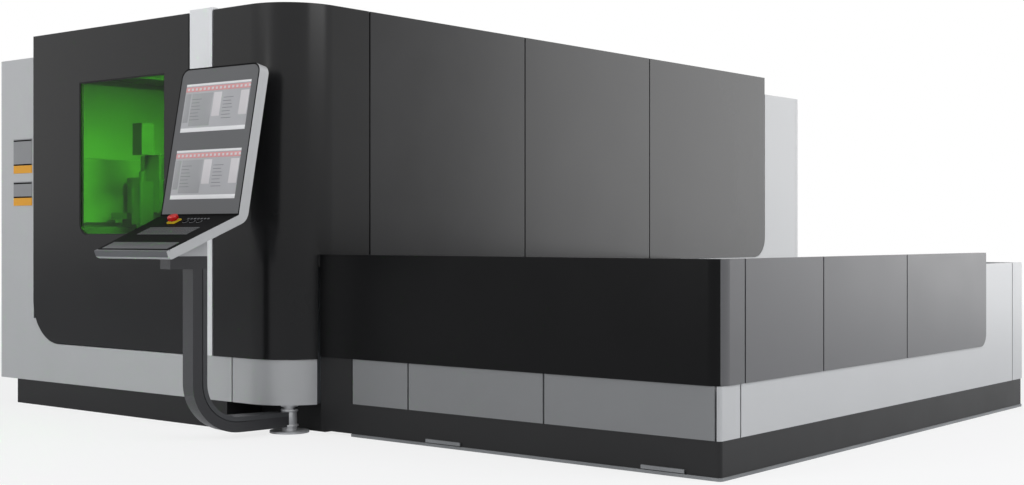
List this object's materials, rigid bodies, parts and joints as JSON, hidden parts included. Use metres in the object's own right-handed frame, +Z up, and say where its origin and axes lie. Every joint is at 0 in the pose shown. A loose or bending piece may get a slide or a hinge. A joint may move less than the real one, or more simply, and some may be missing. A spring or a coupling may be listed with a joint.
{
  "type": "fiber laser cutting machine",
  "caption": "Enclosed fiber laser cutter: tall cabinet with a windowed door, gantry and saw-toothed pallet, a low box the pallet slides out to, and a console on a swing arm.",
  "frame": {"origin": "on the floor under the tall cabinet, halfway along its length", "axes": "+X from the cabinet to the exchange box, +Y from the operator's side to the rear, +Z up"},
  "size_m": [4.915, 6.0052, 2.186],
  "materials": {
    "light_grey": "satin light grey powder coat",
    "anthracite": "semi-gloss anthracite paint",
    "black": "matt black paint",
    "white": "satin white",
    "steel": "ground steel",
    "machine_grey": "machine frame paint",
    "rubber": "moulded rubber",
    "laser_glass": "green laser protective pane",
    "dark_plastic": "textured plastic",
    "bezel": "satin grey plastic",
    "screen": "lit display",
    "red": "gloss red",
    "yellow": "gloss yellow",
    "copper": "copper",
    "aluminium": "anodised",
    "galvanised": "mild steel plate",
    "plate_grey": "plain grey plate over an amber band"
  },
  "bodies": {
    "cabinet": {"cabinet_plinth": "black", "floor_decks": "machine_grey", "cabinet_frame": "machine_grey", "front_body_panel": "light_grey", "skirt_corner_panel": "light_grey", "outer_body_panels": "light_grey", "right_body_panel": "light_grey", "corner_panel": "anthracite", "side_panels": "anthracite", "door_pillar": "white", "wing_plates": "plate_grey", "door_seal": "rubber", "door_rails": "machine_grey", "hinge_frame_leaves": "steel", "bed_frame": "machine_grey", "gantry_guides": "steel", "pallet_tracks": "galvanised", "slag_trays": "galvanised", "control_cabinet": "light_grey", "laser_source": "light_grey", "exchange_plinth": "black", "exchange_sill": "galvanised", "exchange_frame": "machine_grey", "exchange_corner_panel": "anthracite", "exchange_side_panels": "anthracite", "exchange_skirt_panels": "light_grey", "exchange_light_panels": "light_grey", "post_bearings": "steel"},
    "door": {"door_panel": "anthracite", "window_gasket": "rubber", "window_glass": "laser_glass", "window_clamp": "black", "hinge_door_leaves": "steel"},
    "gantry": {"gantry_blocks": "steel", "gantry_beam": "machine_grey", "cross_guides": "steel"},
    "carriage": {"carriage_blocks": "steel", "carriage_plate": "aluminium", "lift_motor": "dark_plastic"},
    "head": {"cutting_head": "aluminium", "cutting_nozzle": "copper"},
    "pallet": {"pallet_frame": "galvanised", "pallet_slats": "galvanised"},
    "inner_wheelset": {"wheelset_inner": "steel"},
    "outer_wheelset": {"wheelset_outer": "steel"},
    "arm": {"pivot_post": "steel", "arm_beam": "black", "arm_cover": "black", "console_bracket": "light_grey", "console_shell": "light_grey", "console_bezel": "bezel", "screens": "screen", "tray_deck": "dark_plastic", "tray_inlays": "dark_plastic", "stop_plate": "yellow"},
    "stop_button": {"emergency_stop": "red"},
    "key_body_1": {"key_1": "dark_plastic"},
    "key_body_2": {"key_2": "dark_plastic"},
    "key_body_3": {"key_3": "dark_plastic"}
  },
  "joints": [
    {"name": "door_swing", "type": "hinge", "parent": "cabinet", "child": "door", "pos_m": [-0.904, -2.62, 1.3], "axis": [0, 0, -1], "range_deg": [0, 100]},
    {"name": "gantry_travel", "type": "slide", "parent": "cabinet", "child": "gantry", "axis": [0, 1, 0], "range_m": [0, 2.56]},
    {"name": "carriage_travel", "type": "slide", "parent": "gantry", "child": "carriage", "axis": [1, 0, 0], "range_m": [-0.045, 1.27]},
    {"name": "head_lift", "type": "slide", "parent": "carriage", "child": "head", "axis": [0, 0, -1], "range_m": [0, 0.13]},
    {"name": "pallet_travel", "type": "slide", "parent": "cabinet", "child": "pallet", "axis": [1, 0, 0], "range_m": [0, 2.38]},
    {"name": "inner_wheels_roll", "type": "hinge", "parent": "pallet", "child": "inner_wheelset", "pos_m": [-0.48, -0.726, 0.681], "axis": [0, 1, 0], "range_deg": [-5, 3500]},
    {"name": "outer_wheels_roll", "type": "hinge", "parent": "pallet", "child": "outer_wheelset", "pos_m": [0.64, -0.726, 0.681], "axis": [0, 1, 0], "range_deg": [-5, 3500]},
    {"name": "console_swing", "type": "hinge", "parent": "cabinet", "child": "arm", "pos_m": [1.167, -2.501, 0.1], "axis": [0, 0, 1], "range_deg": [-12, 50]},
    {"name": "stop_push", "type": "slide", "parent": "arm", "child": "stop_button", "axis": [-0.017, 0.3742, -0.9272], "range_m": [0, 0.006], "stiffness_N_per_m": 1200},
    {"name": "key_1_push", "type": "slide", "parent": "arm", "child": "key_body_1", "axis": [-0.017, 0.3742, -0.9272], "range_m": [0, 0.003], "stiffness_N_per_m": 600},
    {"name": "key_2_push", "type": "slide", "parent": "arm", "child": "key_body_2", "axis": [-0.017, 0.3742, -0.9272], "range_m": [0, 0.003], "stiffness_N_per_m": 600},
    {"name": "key_3_push", "type": "slide", "parent": "arm", "child": "key_body_3", "axis": [-0.017, 0.3742, -0.9272], "range_m": [0, 0.003], "stiffness_N_per_m": 600}
  ],
  "couplings": [
    {"joint": "inner_wheels_roll", "follows": "pallet_travel", "rad_per_m": 25},
    {"joint": "outer_wheels_roll", "follows": "pallet_travel", "rad_per_m": 25}
  ]
}
